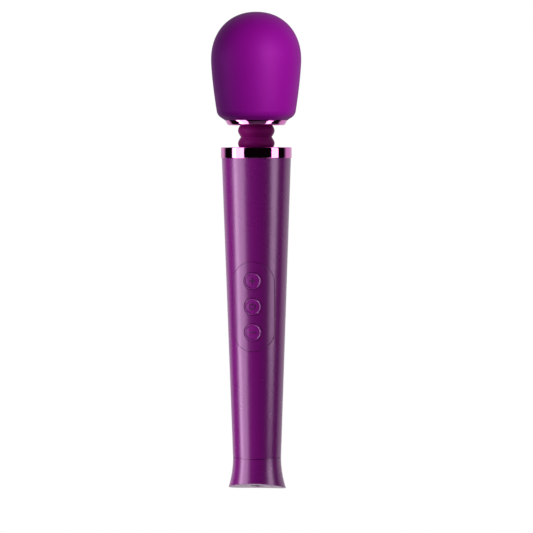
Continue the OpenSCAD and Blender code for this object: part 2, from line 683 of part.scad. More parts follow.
module head_base() color("#cfcdc6") difference() {
    union() {
        intersection() {
            head_solid(cushion_t);
            rod(head_r, head_z, split_z);
        }
        rod(lip_r - 0.1, head_z, head_z + cushion_t + 0.5);
        rod(spring_seat_r, head_z - spring_seat_h, head_z + 1);
    }
    difference() {
        intersection() {
            head_solid(cushion_t + head_wall);
            rod(head_r, head_floor_z, split_z + 1);
        }
        ring(pocket_r, pocket_r + pocket_wall, head_floor_z - 1, split_z + 2);
        ring(motor_r - 4.4, pocket_r + 0.1, head_floor_z - 1, motor_z);
        cover_columns(cover_column_r, head_floor_z - 1, split_z + 2);
    }
    cover_columns(screw_r, split_z - 8, split_z + 1);
    rod(lead_hole_r, head_z - spring_seat_h - 1, head_floor_z + 1);
    trim_holes(screw_r + 0.1, head_z - 1, head_floor_z);
    trim_holes(screw_head_r + fit, head_floor_z - 2, split_z + 1);
}
module head_dome() color("#cfcdc6") {
    rim_r = side_r(split_z, cushion_t + head_wall);
    tongue_r = side_r(split_z - tongue_h, cushion_t + head_wall) - fit - 0.1;
    difference() {
        intersection() {
            head_solid(cushion_t);
            rod(head_r, split_z, dome_z + dome_rise);
        }
        head_solid(cushion_t + head_wall);
    }
    difference() {
        union() {
            rod(tongue_r, split_z - tongue_h, split_z + 0.1);
            rod(rim_r + 0.6, split_z, split_z + 2);
        }
        rod(tongue_r - 1, split_z - tongue_h - 1, split_z + 3);
    }
}
module motor_cover() color("#8f9097") difference() {
    union() {
        rod(pocket_r + pocket_wall, split_z, motor_top + cover_flange_t);
        rod(cover_screw_pcr, split_z, split_z + cover_flange_t);
        cover_columns(cover_column_r, split_z, split_z + cover_flange_t);
    }
    rod(pocket_r, split_z - 1, motor_top);
    rod(weight_hub_r, motor_top - 1, motor_top + cover_flange_t + 1);
    cover_columns(screw_r + 0.1, split_z - 1, split_z + cover_flange_t + 1);
    for (s = [-1, 1]) translate([s * 8, 0, 0])
        rod(screw_r + 0.1, motor_top - 1, motor_top + cover_flange_t + 1);
}
module motor_cover_screws() color("#9a9ca3")
    for (a = [30:120:270]) rotate(a) translate([cover_screw_pcr, 0, split_z + cover_flange_t])
        screw(cover_flange_t + 6);
module motor_screws() color("#9a9ca3") for (s = [-1, 1])
    translate([s * 8, 0, motor_top + cover_flange_t]) screw(cover_flange_t + can_top_t + 0.6);
module motor_sleeve() color("#1c1d20") ring(motor_r, pocket_r - 0.05, motor_z + 3, motor_top - 3);

module motor_can() color("#a9abb1") difference() {
    union() {
        rod(motor_r - 0.02, motor_z + bell_t, motor_top);
        rod(bushing_r + 1, motor_top - bushing_l, motor_top + 1.5);
    }
    rod(motor_r - can_wall, motor_z, motor_top - can_top_t);
    rod(bushing_r, motor_z, motor_top + 2);
    for (s = [-1, 1]) translate([s * 8, 0, 0]) rod(screw_r, motor_top - 2, motor_top + 1);
}
module motor_magnets() color("#4a4d55") for (s = [0, 180]) rotate(s) intersection() {
    ring(motor_r - can_wall - 2.5, motor_r - can_wall - 0.02, core_z - 1, core_z + core_l + 1);
    linear_extrude(motor_top) polygon([[0, 0], [2 * motor_r, 1.1 * motor_r], [2 * motor_r, -1.1 * motor_r]]);
}
module motor_end_bell() color("#23252a") difference() {
    union() {
        rod(motor_r - 0.02, motor_z, motor_z + bell_t);
        rod(motor_r - can_wall - 0.05, motor_z + bell_t, motor_z + bell_t + 2.5);
    }
    rod(8.6, motor_z + bell_t, motor_z + 5);
    rod(bushing_r, motor_z + 0.5, motor_z + 5);
    for (s = [-1, 1]) box(s * terminal_x - 0.3, s * terminal_x + 0.3, -1.6, 1.6, motor_z - 1, motor_z + 2);
}
module motor_bushings() color("#a9743a") {
    ring(shaft_r + running, bushing_r - 0.02, motor_top - bushing_l + 0.3, motor_top + 1.5);
    ring(shaft_r + running, bushing_r - 0.02, motor_z + 0.5, motor_z + 0.5 + bushing_l);
}
module motor_brushes() color("#3b3b3d") for (s = [-1, 1])
    box(s > 0 ? commutator_r + running : -8.4, s > 0 ? 8.4 : -commutator_r - running, -1.4, 1.4,
        motor_z + 4.4, motor_z + 6.4);
module motor_terminals() color("#c9a84c") for (s = [-1, 1]) {
    box(s * terminal_x - 0.25, s * terminal_x + 0.25, -1.5, 1.5, motor_z - 1.8, motor_z + 4.4);
}

// ---- Rotor ----

module motor_shaft() color("#c7c9ce") rod(shaft_r, motor_z + 0.6, weight_z + weight_t + 0.4);
module armature_core() color("#6f7178") difference() {
    intersection() {
        rod(core_r, core_z, core_z + core_l);
        union() {
            ring(core_r - 1.6, core_r + 1, core_z, core_z + core_l);
            rod(shaft_r + 1.6, core_z, core_z + core_l);
            for (a = [0, 120, 240]) rotate(a) box(0, core_r - 1, -2, 2, core_z, core_z + core_l);
        }
    }
    rod(shaft_r, core_z - 1, core_z + core_l + 1);
    for (a = [60, 180, 300]) rotate(a) box(core_r - 3, core_r + 2, -0.9, 0.9, core_z - 1, core_z + core_l + 1);
}
module armature_windings() color("#b5632b") for (a = [0, 120, 240]) rotate(a) difference() {
    intersection() {
        box(shaft_r + 2.3, core_r - 1.9, -3.4, 3.4, core_z - winding_over, core_z + core_l + winding_over);
        rod(core_r - 1.7, motor_z, motor_top);
    }
    box(0, core_r, -2, 2, core_z, core_z + core_l);
    for (s = [-60, 60]) rotate(s) box(0, core_r + 2, s < 0 ? -6 : -0.1, s < 0 ? 0.1 : 6, core_z - 9, motor_top);
}
module commutator() color("#b87333") difference() {
    ring(shaft_r, commutator_r, motor_z + 3.8, core_z - 0.1);
    for (a = [60:120:300]) rotate(a) box(shaft_r + 0.8, commutator_r + 1, -0.2, 0.2, motor_z, core_z);
}
module eccentric_weight() color("#c2a15a") difference() {
    union() {
        rod(weight_hub_r, weight_z - 2, weight_z + weight_t);
        intersection() {
            rod(weight_r, weight_z, weight_z + weight_t);
            box(-weight_r, weight_r, 0, weight_r, weight_z - 1, weight_z + weight_t + 1);
        }
    }
    rod(shaft_r, weight_z - 3, weight_z + weight_t + 1);
    bar_y(0, weight_z + weight_t / 2, 1.5, 0, -weight_hub_r - 1);
}
module weight_screw() color("#55585f") difference() {
    bar_y(0, weight_z + weight_t / 2, 1.5, -shaft_r, -weight_hub_r + 0.2);
    at_z(weight_z + weight_t / 2) rotate([90, 0, 0]) at_z(weight_hub_r - 1.8)
        cylinder(r = 0.75, h = 3, $fn = 6);
}

tail_cap();
tail_seal();
charge_jack();
jack_nut();
port_grommet();
handle_tube();
collar_ring();
collar_screws();
neck_bulkhead();
bulkhead_screws();
chassis_rear();
chassis_front();
chassis_screws();
battery_cell_lower();
battery_cell_upper();
battery_tabs();
battery_leads();
charge_leads();
main_board();
board_components();
board_screws();
switch_housings();
control_panel();
keypad_tape();
keypad_membrane();
button_plus();
button_power();
button_minus();
plunger_plus();
plunger_power();
plunger_minus();
neck_bellows();
neck_waist_ring();
neck_spring_lower();
neck_spring_upper();
motor_leads();
head_cushion();
trim_ring();
trim_screws();
head_base();
head_dome();
motor_cover();
motor_cover_screws();
motor_screws();
motor_sleeve();
motor_can();
motor_magnets();
motor_end_bell();
motor_bushings();
motor_brushes();
motor_terminals();
motor_shaft();
armature_core();
armature_windings();
commutator();
eccentric_weight();
weight_screw();
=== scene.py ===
from math import cos, hypot, pi, radians, sin, sqrt, tan

import bpy
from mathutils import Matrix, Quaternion, Vector


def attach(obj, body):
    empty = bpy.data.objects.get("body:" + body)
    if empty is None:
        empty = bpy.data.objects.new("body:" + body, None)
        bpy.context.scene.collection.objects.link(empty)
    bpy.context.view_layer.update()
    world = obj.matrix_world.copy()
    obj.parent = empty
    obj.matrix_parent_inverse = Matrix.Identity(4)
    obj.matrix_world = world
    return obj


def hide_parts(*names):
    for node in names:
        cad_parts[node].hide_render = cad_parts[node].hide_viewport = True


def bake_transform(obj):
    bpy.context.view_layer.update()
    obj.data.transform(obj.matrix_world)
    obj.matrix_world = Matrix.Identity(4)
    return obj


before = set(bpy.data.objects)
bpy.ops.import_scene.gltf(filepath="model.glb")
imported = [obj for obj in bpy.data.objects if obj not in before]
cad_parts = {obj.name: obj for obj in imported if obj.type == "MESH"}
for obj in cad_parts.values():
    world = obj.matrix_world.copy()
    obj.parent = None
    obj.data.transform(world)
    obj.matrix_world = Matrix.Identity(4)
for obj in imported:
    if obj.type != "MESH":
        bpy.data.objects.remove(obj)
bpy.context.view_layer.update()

# ---------------------------------------------------------------- handle tube
# The tapered barrel that the hand holds: one injection-moulded ABS tube, sprayed
# with a satin violet lacquer. The control panel drops into a pocket in its front.

MM = 0.001
SEAM_Z, COLLAR_Z = 24.3, 235.9
SEAM_R, COLLAR_END_R = 17.0, 24.4
TUBE_WALL = 3.0
TUBE_EDGE = 0.3
SEAM_GAP, SEAM_DEPTH, SEAM_EDGE = 0.45, 0.9, 0.1
PANEL_Z, PANEL_W, PANEL_L, PANEL_T = 132.0, 29.6, 63.0, 1.8
POCKET_GAP, POCKET_EDGE, PANEL_LEDGE = 0.17, 0.12, 1.5
CUT_PAST = 3.0


def tube_r(z):
    """Outer radius of the tube's cone at a height, in millimetres."""
    return SEAM_R + (COLLAR_END_R - SEAM_R) * (z - SEAM_Z) / (COLLAR_Z - SEAM_Z)


def pick_out(piece):
    """Makes one piece the active one, and the only one selected."""
    bpy.ops.object.select_all(action="DESELECT")
    bpy.context.view_layer.objects.active = piece
    piece.select_set(True)


def edit(piece):
    """Opens one piece in edit mode with all of it selected."""
    pick_out(piece)
    bpy.ops.object.mode_set(mode="EDIT")
    bpy.ops.mesh.select_mode(type="VERT")
    bpy.ops.mesh.select_all(action="SELECT")


def leave_edit():
    bpy.ops.object.mode_set(mode="OBJECT")


def name_new(name):
    """Names the primitive that was just added, and puts its place into its mesh."""
    piece = bpy.context.object
    piece.name = name
    piece.data.name = name
    bpy.ops.object.transform_apply(location=True, rotation=True, scale=True)
    return piece


def turned(name, outline, steps=96):
    """Extrudes an outline of (radius, height) from one point round to itself, then spins it."""
    bpy.ops.object.select_all(action="DESELECT")
    r, z = outline[0]
    bpy.ops.mesh.primitive_plane_add(size=MM, location=(r * MM, 0, z * MM))
    piece = name_new(name)
    edit(piece)
    bpy.ops.mesh.merge(type="CENTER")
    closed = outline + [outline[0]] if outline[0][0] > 0 else outline
    for a, b in zip(closed, closed[1:]):
        step = ((b[0] - a[0]) * MM, 0, (b[1] - a[1]) * MM)
        bpy.ops.mesh.extrude_region_move(TRANSFORM_OT_translate={"value": step})
    bpy.ops.mesh.select_all(action="SELECT")
    bpy.ops.mesh.remove_doubles(threshold=1e-6)
    bpy.ops.mesh.spin(steps=steps, angle=2 * pi, center=(0, 0, 0), axis=(0, 0, 1))
    bpy.ops.mesh.select_all(action="SELECT")
    bpy.ops.mesh.remove_doubles(threshold=1e-6)
    bpy.ops.mesh.normals_make_consistent(inside=False)
    leave_edit()
    return piece


def arc_points(r, z, radius, start, end, count):
    """Points on an arc of the outline, with its angles in degrees from the radius direction."""
    return [(r + radius * cos(radians(start + (end - start) * i / count)),
             z + radius * sin(radians(start + (end - start) * i / count)))
            for i in range(count + 1)]


def stadium(name, width, length, depth, segments=96):
    """A stadium-shaped slug lying in the XZ plane about the panel's centre, from y 0 to depth."""
    bpy.ops.object.select_all(action="DESELECT")
    bpy.ops.mesh.primitive_cylinder_add(vertices=segments, radius=width / 2 * MM, depth=abs(depth) * MM,
                                        location=(0, depth / 2 * MM, PANEL_Z * MM),
                                        rotation=(pi / 2, 0, 0))
    piece = name_new(name)
    shift = (length - width) / 2 * MM
    edit(piece)
    bpy.ops.mesh.bisect(plane_co=(0, 0, PANEL_Z * MM), plane_no=(0, 0, 1))
    leave_edit()
    for v in piece.data.vertices:
        above = v.co.z - PANEL_Z * MM
        if abs(above) > 1e-6:
            v.co.z += shift if above > 0 else -shift
    return piece


def cut(piece, *tools):
    """Takes the tools away from the piece, and removes them."""
    for tool in tools:
        pick_out(piece)
        hollow = piece.modifiers.new("cut", "BOOLEAN")
        hollow.operation, hollow.solver, hollow.object = "DIFFERENCE", "EXACT", tool
        bpy.ops.object.modifier_apply(modifier=hollow.name)
        bpy.data.objects.remove(tool)


def soften(piece, angle=32):
    """Shades a piece smooth except across its sharp edges."""
    pick_out(piece)
    bpy.ops.object.shade_smooth_by_angle(angle=radians(angle))


def even_shading(piece):
    """Lets the wide faces lead the shading, so that thin slivers beside a cut don't show."""
    pick_out(piece)
    even = piece.modifiers.new("even_shading", "WEIGHTED_NORMAL")
    even.keep_sharp = True
    bpy.ops.object.modifier_apply(modifier=even.name)


def round_edges(piece, width, pick, segments=2):
    """Bevels the sharp edges whose middle passes pick(x, y, z), in millimetres."""
    edit(piece)
    bpy.ops.mesh.select_all(action="DESELECT")
    bpy.ops.mesh.select_mode(type="EDGE")
    bpy.ops.mesh.edges_select_sharp(sharpness=radians(38))
    leave_edit()
    co = piece.data.vertices
    for e in piece.data.edges:
        if e.select:
            m = (co[e.vertices[0]].co + co[e.vertices[1]].co) / 2 / MM
            e.select = bool(pick(m.x, m.y, m.z))
    bpy.ops.object.mode_set(mode="EDIT")
    bpy.ops.mesh.bevel(offset=width * MM, segments=segments, affect="EDGES", clamp_overlap=True)
    leave_edit()


def node(tree, kind, **values):
    """Adds a shader node; keywords are its properties, or its inputs where they begin with in_."""
    new = tree.nodes.new(kind)
    for key, value in values.items():
        if key.startswith("in_"):
            new.inputs[key[3:].replace("_", " ")].default_value = value
        else:
            setattr(new, key, value)
    return new


def build_skin_group():
    """Fine grain, slow patches and specks of dust, all from the piece's own coordinates."""
    group = bpy.data.node_groups.new("moulded skin", "ShaderNodeTree")
    for name, low, high in (("Grain", 1, 9000), ("Patch", 1, 9000), ("Speck", 1, 9000)):
        socket = group.interface.new_socket(name, in_out="INPUT", socket_type="NodeSocketFloat")
        socket.min_value, socket.max_value = low, high
    for name in ("Height", "Patches", "Specks"):
        group.interface.new_socket(name, in_out="OUTPUT", socket_type="NodeSocketFloat")
    inside = node(group, "NodeGroupInput")
    outside = node(group, "NodeGroupOutput")
    place = node(group, "ShaderNodeTexCoord")
    for source, target, detail, rough in (("Grain", "Height", 2.0, 0.5), ("Patch", "Patches", 5.0, 0.6)):
        noise = node(group, "ShaderNodeTexNoise", in_Detail=detail, in_Roughness=rough)
        group.links.new(place.outputs["Object"], noise.inputs["Vector"])
        group.links.new(inside.outputs[source], noise.inputs["Scale"])
        spread = node(group, "ShaderNodeMapRange", in_From_Min=0.3, in_From_Max=0.7)
        group.links.new(noise.outputs["Fac"], spread.inputs["Value"])
        group.links.new(spread.outputs["Result"], outside.inputs[target])
    dots = node(group, "ShaderNodeTexVoronoi", in_Randomness=1.0)
    group.links.new(place.outputs["Object"], dots.inputs["Vector"])
    group.links.new(inside.outputs["Speck"], dots.inputs["Scale"])
    pick = node(group, "ShaderNodeMapRange", in_From_Min=0.13, in_From_Max=0.05)
    group.links.new(dots.outputs["Distance"], pick.inputs["Value"])
    group.links.new(pick.outputs["Result"], outside.inputs["Specks"])
    return group


skin_group = build_skin_group()


def linear(r, g, b):
    """A colour given on a screen's scale, 0 to 255, as the shader wants it."""
    return tuple((c / 255 / 12.92 if c < 11 else ((c / 255 + 0.055) / 1.055) ** 2.4)
                 for c in (r, g, b)) + (1.0,)


def mix_colours(tree, factor, first, second):
    """Mixes two colours by a factor; each is a plain colour or another node's socket."""
    mix = node(tree, "ShaderNodeMix", data_type="RGBA")
    tree.links.new(factor, mix.inputs["Factor"])
    sockets = [socket for socket in mix.inputs if socket.type == "RGBA"]
    for socket, colour in zip(sockets, (first, second)):
        if isinstance(colour, tuple):
            socket.default_value = colour
        else:
            tree.links.new(colour, socket)
    return next(socket for socket in mix.outputs if socket.type == "RGBA")


DUST_COLOUR = (0.6, 0.58, 0.6, 1)
GRAIN_DEPTH = 0.0001


def finish(name, colour, worn, rough, grain, bump, patch, dust=0.0, speck=500, **shader):
    """A finish whose colour and gloss drift between two values, over a fine moulded grain."""
    material = bpy.data.materials.new(name)
    material.use_nodes = True
    tree = material.node_tree
    gloss = tree.nodes["Principled BSDF"]
    for key, value in shader.items():
        gloss.inputs[key.replace("_", " ")].default_value = value
    skin = node(tree, "ShaderNodeGroup", node_tree=skin_group, in_Grain=grain, in_Patch=patch,
                in_Speck=speck)
    shade = mix_colours(tree, skin.outputs["Patches"], colour, worn)
    if dust:
        amount = node(tree, "ShaderNodeMath", operation="MULTIPLY")
        amount.inputs[1].default_value = dust
        tree.links.new(skin.outputs["Specks"], amount.inputs[0])
        shade = mix_colours(tree, amount.outputs["Value"], shade, DUST_COLOUR)
    tree.links.new(shade, gloss.inputs["Base Color"])
    drift = node(tree, "ShaderNodeMapRange", in_To_Min=rough[0], in_To_Max=rough[1])
    tree.links.new(skin.outputs["Patches"], drift.inputs["Value"])
    tree.links.new(drift.outputs["Result"], gloss.inputs["Roughness"])
    relief = node(tree, "ShaderNodeBump", in_Strength=bump, in_Distance=GRAIN_DEPTH)
    tree.links.new(skin.outputs["Height"], relief.inputs["Height"])
    tree.links.new(relief.outputs["Normal"], gloss.inputs["Normal"])
    return material


def dress(piece, material, body=None, stands_for=()):
    """Gives a finished piece its material, its body and the nodes it stands for."""
    piece.data.materials.clear()
    piece.data.materials.append(material)
    if body:
        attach(piece, body)
    if stands_for:
        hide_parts(*stands_for)


body_lacquer = finish("violet lacquer", linear(104, 9, 101), linear(99, 7, 97), (0.25, 0.29),
                      grain=1500, bump=0.05, patch=30, dust=0.03, speck=420,
                      Specular_IOR_Level=0.85, Specular_Tint=(1, 0.68, 1, 1))

tube_outline = [(tube_r(SEAM_Z) - TUBE_WALL, SEAM_Z), (SEAM_R - SEAM_DEPTH, SEAM_Z),
                (SEAM_R - SEAM_DEPTH, SEAM_Z + SEAM_GAP), (SEAM_R - SEAM_EDGE, SEAM_Z + SEAM_GAP),
                (SEAM_R - 0.02, SEAM_Z + SEAM_GAP + 0.04), (tube_r(SEAM_Z + SEAM_GAP), SEAM_Z + SEAM_GAP)]
tube_outline += [(tube_r(z), z) for z in [30, 60, 90, *range(96, 170, 3), 175, 200, 220]]
tube_outline += [(tube_r(COLLAR_Z - TUBE_EDGE), COLLAR_Z - TUBE_EDGE),
                 (COLLAR_END_R - 0.3 * TUBE_EDGE, COLLAR_Z - 0.3 * TUBE_EDGE),
                 (COLLAR_END_R - TUBE_EDGE, COLLAR_Z),
                 (COLLAR_END_R - TUBE_WALL, COLLAR_Z)]
tube_outline += [(tube_r(z) - TUBE_WALL, z) for z in [200, 169, 130, 95, 50]]
handle_tube = turned("barrel", tube_outline, steps=256)


def wrap(piece):
    """Bends a piece laid flat on the XZ plane round the tube, so that its y becomes a depth."""
    for v in piece.data.vertices:
        r = tube_r(v.co.z / MM) * MM
        v.co.y -= sqrt(max(r * r - v.co.x ** 2, 0))


def cross_cut(piece, xs, zs):
    """Slices a flat piece along the given x and z, so that it can bend."""
    edit(piece)
    for axis, places in (("x", xs), ("z", zs)):
        for at in places:
            bpy.ops.mesh.select_all(action="SELECT")
            plane = (at * MM, 0, 0) if axis == "x" else (0, 0, at * MM)
            normal = (1, 0, 0) if axis == "x" else (0, 0, 1)
            bpy.ops.mesh.bisect(plane_co=plane, plane_no=normal)
    leave_edit()


pocket = stadium("pocket", PANEL_W + 2 * POCKET_GAP, PANEL_L + 2 * POCKET_GAP, PANEL_T + CUT_PAST)
for v in pocket.data.vertices:
    v.co.y -= CUT_PAST * MM
cross_cut(pocket, [x * 1.25 for x in range(-11, 12)], [PANEL_Z + z for z in range(-30, 31, 6)])
wrap(pocket)
window = stadium("window", PANEL_W - 2 * PANEL_LEDGE, PANEL_L - 2 * PANEL_LEDGE, -40)
cut(handle_tube, pocket, window)
round_edges(handle_tube, POCKET_EDGE, lambda x, y, z: y < 0 and abs(x) < PANEL_W / 2 + 0.4
            and abs(z - PANEL_Z) < PANEL_L / 2 + 0.5 and hypot(x, y) > tube_r(z) - 0.05)
soften(handle_tube)
even_shading(handle_tube)
dress(handle_tube, body_lacquer, "handle", ["handle_tube"])

# ---------------------------------------------------------- panel and buttons
# A satin panel, moulded to the tube's taper and snapped flush into its pocket, with
# three round keys that each have a raised rim, a dished face and a sunk symbol.

KEY_R, KEY_GAP, KEY_PROUD, KEY_PITCH = 6.0, 0.28, 0.35, 18.0
KEY_RIM, KEY_DISH, RIM_ROLL_R = 0.9, 0.5, 0.42
KEY_HEIGHTS = {"plus": PANEL_Z + KEY_PITCH, "power": PANEL_Z, "minus": PANEL_Z - KEY_PITCH}
SYMBOL_L, SYMBOL_W, SYMBOL_DEPTH = 4.6, 0.7, 0.25
FLANGE_IN, FLANGE_OUT, FLANGE_R = 1.95, 2.55, 7.0
STEM_R, STEM_END_Y = 1.6, -15.1
PANEL_EDGE = 0.2

panel_lacquer = finish("panel lacquer", linear(101, 8, 98), linear(96, 7, 94), (0.27, 0.31),
                       grain=1700, bump=0.05, patch=55, dust=0.03, speck=450,
                       Specular_IOR_Level=0.85, Specular_Tint=(1, 0.68, 1, 1))


def round_bar(name, z, radius, y0, y1, segments=64):
    """A round bar along Y, at a height on the front's middle line."""
    bpy.ops.object.select_all(action="DESELECT")
    bpy.ops.mesh.primitive_cylinder_add(vertices=segments, radius=radius * MM, depth=abs(y1 - y0) * MM,
                                        location=(0, (y0 + y1) / 2 * MM, z * MM),
                                        rotation=(pi / 2, 0, 0))
    return name_new(name)


def flat_bar(name, z, width, length, y0, y1):
    """A square bar on the same line, width along X and length along Z."""
    bpy.ops.object.select_all(action="DESELECT")
    bpy.ops.mesh.primitive_cube_add(size=1, location=(0, (y0 + y1) / 2 * MM, z * MM),
                                    scale=(width * MM, (y1 - y0) * MM, length * MM))
    return name_new(name)


panel = stadium("control_plate", PANEL_W, PANEL_L, PANEL_T, segments=128)
cut(panel, *[round_bar("keyhole", z, KEY_R + KEY_GAP, -CUT_PAST, PANEL_T + CUT_PAST, 96)
             for z in KEY_HEIGHTS.values()])
round_edges(panel, PANEL_EDGE, lambda x, y, z: y < 0.05, segments=3)
cross_cut(panel, [x * 0.8 for x in range(-18, 19)], [PANEL_Z + z for z in range(-30, 31, 3)])
wrap(panel)
soften(panel)
even_shading(panel)
dress(panel, panel_lacquer, "handle", ["control_panel"])

key_lacquer = finish("key lacquer", linear(116, 14, 114), linear(110, 12, 108), (0.26, 0.3),
                     grain=1900, bump=0.05, patch=90, dust=0.03, speck=500,
                     Specular_IOR_Level=0.9, Specular_Tint=(1, 0.68, 1, 1))
# The sunk symbols' floors get a darker violet: painted shade in the recesses.
sunk_symbol_shade = finish("sunk symbol", linear(44, 2, 44), linear(38, 1, 38), (0.45, 0.55), grain=2200,
                    bump=0.1, patch=200)


def key_blank(name, z):
    """A key turned on a lathe, lying flat at its height, with y as its depth below the tube."""
    dish, deep = KEY_PROUD - KEY_DISH, -(tube_r(z) + STEM_END_Y)
    inner = KEY_R - KEY_RIM
    outline = [(0, dish), (1.5, dish), (3, dish), (inner - 0.5, dish), (inner - 0.15, dish + 0.03)]
    outline += arc_points(KEY_R - RIM_ROLL_R - 0.05, KEY_PROUD - RIM_ROLL_R, RIM_ROLL_R, 170, 4, 9)
    outline += [(KEY_R, KEY_PROUD - 0.6), (KEY_R, -FLANGE_IN), (FLANGE_R, -FLANGE_IN),
                (FLANGE_R, -FLANGE_OUT), (STEM_R, -FLANGE_OUT), (STEM_R, deep), (0, deep)]
    key = turned(name, outline)
    edit(key)
    bpy.ops.transform.rotate(value=pi / 2, orient_axis="X", center_override=(0, 0, 0))
    leave_edit()
    for v in key.data.vertices:
        v.co = (v.co.x, -v.co.y, v.co.z + z * MM)
    edit(key)
    bpy.ops.mesh.normals_make_consistent(inside=False)
    leave_edit()
    return key


def ring_slug(name, z, outer, inner, y0, y1):
    """A ring along Y, open at the top for the power symbol."""
    slug = round_bar(name, z, outer, y0, y1)
    cut(slug, round_bar("bore", z, inner, y0 - 1, y1 + 1),
        flat_bar("gap", z + outer, 2.2 * SYMBOL_W, 2 * outer - 0.01, y0 - 1, y1 + 1))
    return slug


for mark, key_z in KEY_HEIGHTS.items():
    key = key_blank("key_" + mark, key_z)
    sunk = KEY_DISH - KEY_PROUD + SYMBOL_DEPTH
    if mark == "power":
        stroke_z = key_z + SYMBOL_L / 4 + SYMBOL_W / 2
        cut(key, ring_slug("arc", key_z, SYMBOL_L / 2, SYMBOL_L / 2 - SYMBOL_W, -CUT_PAST, sunk),
            flat_bar("stroke", stroke_z, SYMBOL_W, SYMBOL_L / 2, -CUT_PAST, sunk))
    else:
        cut(key, flat_bar("level", key_z, SYMBOL_L, SYMBOL_W, -CUT_PAST, sunk))
    if mark == "plus":
        cut(key, flat_bar("upright", key_z, SYMBOL_W, SYMBOL_L, -CUT_PAST, sunk))
    cross_cut(key, range(-5, 6), [key_z + z for z in range(-4, 5, 2)])
    # These are the symbol's sunk floor faces, which take the painted shade.
    shaded_symbol_faces = [face.index for face in key.data.polygons if abs(face.center.y / MM - sunk) < 0.02
             and hypot(face.center.x / MM, face.center.z / MM - key_z) < SYMBOL_L / 2 + SYMBOL_W]
    wrap(key)
    soften(key)
    dress(key, key_lacquer, "button_" + mark, ["button_" + mark])
    key.data.materials.append(sunk_symbol_shade)
    for index in shaded_symbol_faces:
        key.data.polygons[index].material_index = 1

# ------------------------------------------------------------------- tail cap
# The flared foot that closes the barrel: same moulding and lacquer as the tube, held by
# its spigot. Its end face is arched and slopes, and has the charging socket in its middle.

FLARE_R = 72.0
FOOT_TILT, FOOT_ARCH_R = radians(10.4), 206.0
SPIGOT_R, SPIGOT_TOP, SPIGOT_WALL, SPIGOT_EDGE = 13.85, 33.3, 3.0, 0.4
SEAL_Z, SEAL_R = 28.3, 0.95
GROMMET_R, GROMMET_HOLE_R, GROMMET_TOP, GROMMET_FIT, GROMMET_SUNK = 4.6, 1.6, 5.345, 0.12, 0.2
JACK_R, NUT_TOP, TAIL_FLOOR_Z = 3.1, 6.945, 10.3


def tail_r(z):
    """Outer radius of the flare at a height, in millimetres."""
    return SEAM_R + FLARE_R - sqrt(FLARE_R ** 2 - (SEAM_Z - z) ** 2)


FOOT_Z = tail_r(0) * tan(FOOT_TILT)


def foot_tool(lift=0.0):
    """The big drum that the end face is milled with, raised by lift."""
    bpy.ops.object.select_all(action="DESELECT")
    middle = (0, -FOOT_ARCH_R * sin(FOOT_TILT) * MM, (FOOT_Z + lift - FOOT_ARCH_R * cos(FOOT_TILT)) * MM)
    bpy.ops.mesh.primitive_cylinder_add(vertices=1440, radius=FOOT_ARCH_R * MM, depth=100 * MM,
                                        location=middle, rotation=(pi / 2 - FOOT_TILT, 0, 0))
    return name_new("foot_tool")


def upright_bar(name, radius, z0, z1, segments=96, x=0, y=0):
    """An upright round bar, on the handle's axis unless it is given a place."""
    bpy.ops.object.select_all(action="DESELECT")
    bpy.ops.mesh.primitive_cylinder_add(vertices=segments, radius=radius * MM, depth=(z1 - z0) * MM,
                                        location=(x * MM, y * MM, (z0 + z1) / 2 * MM))
    return name_new(name)


groove_r = tube_r(SEAL_Z) - TUBE_WALL - 2 * SEAL_R
tail_outline = [(0, -1)] + [(tail_r(z), z) for z in [*range(-1, 8), *range(8, 23, 2), 23, 23.6]]
tail_outline += [(SEAM_R, SEAM_Z - 0.12), (SEAM_R - 0.03, SEAM_Z - 0.04), (SEAM_R - SEAM_EDGE, SEAM_Z),
                 (SPIGOT_R, SEAM_Z), (SPIGOT_R, SEAL_Z - SEAL_R), (groove_r, SEAL_Z - SEAL_R),
                 (groove_r, SEAL_Z + SEAL_R), (SPIGOT_R, SEAL_Z + SEAL_R),
                 (SPIGOT_R, SPIGOT_TOP - SPIGOT_EDGE), (SPIGOT_R - SPIGOT_EDGE, SPIGOT_TOP),
                 (SPIGOT_R - SPIGOT_WALL, SPIGOT_TOP), (SPIGOT_R - SPIGOT_WALL, TAIL_FLOOR_Z),
                 (0, TAIL_FLOOR_Z)]
tail_cap = turned("tail_foot", tail_outline, steps=256)
cut(tail_cap, foot_tool(), upright_bar("grommet_well", GROMMET_R + GROMMET_FIT, -CUT_PAST, NUT_TOP),
    upright_bar("jack_way", JACK_R, -CUT_PAST, TAIL_FLOOR_Z + CUT_PAST))
round_edges(tail_cap, 0.8, lambda x, y, z: z < 9 and hypot(x, y) > 18, segments=3)
round_edges(tail_cap, 0.2, lambda x, y, z: z < 5 and 4 < hypot(x, y) < 5.2, segments=2)
soften(tail_cap)
dress(tail_cap, body_lacquer, "handle", ["tail_cap"])

rubber = finish("black rubber", linear(30, 28, 31), linear(44, 41, 45), (0.6, 0.75),
                grain=3500, bump=0.12, patch=160, dust=0.5, speck=900)
grommet = turned("socket_grommet", [(GROMMET_HOLE_R, -1), (GROMMET_R, -1), (GROMMET_R, GROMMET_TOP),
                                    (GROMMET_HOLE_R, GROMMET_TOP)])
cut(grommet, foot_tool(GROMMET_SUNK))
round_edges(grommet, 0.15, lambda x, y, z: z < 5)
soften(grommet)
dress(grommet, rubber, "handle", ["port_grommet"])

seal = turned("tail_o_ring", arc_points(tube_r(SEAL_Z) - TUBE_WALL - SEAL_R, SEAL_Z, SEAL_R - 0.03,
                                        0, 345, 23))
soften(seal, 60)
dress(seal, rubber, "handle", ["tail_seal"])

# -------------------------------------------- chassis, cells, board and socket
# Two ribbed halves hold the cells and the board inside the barrel; the socket's metal
# barrel and its nut are bright turned metal. All of it is closed in by the tube.

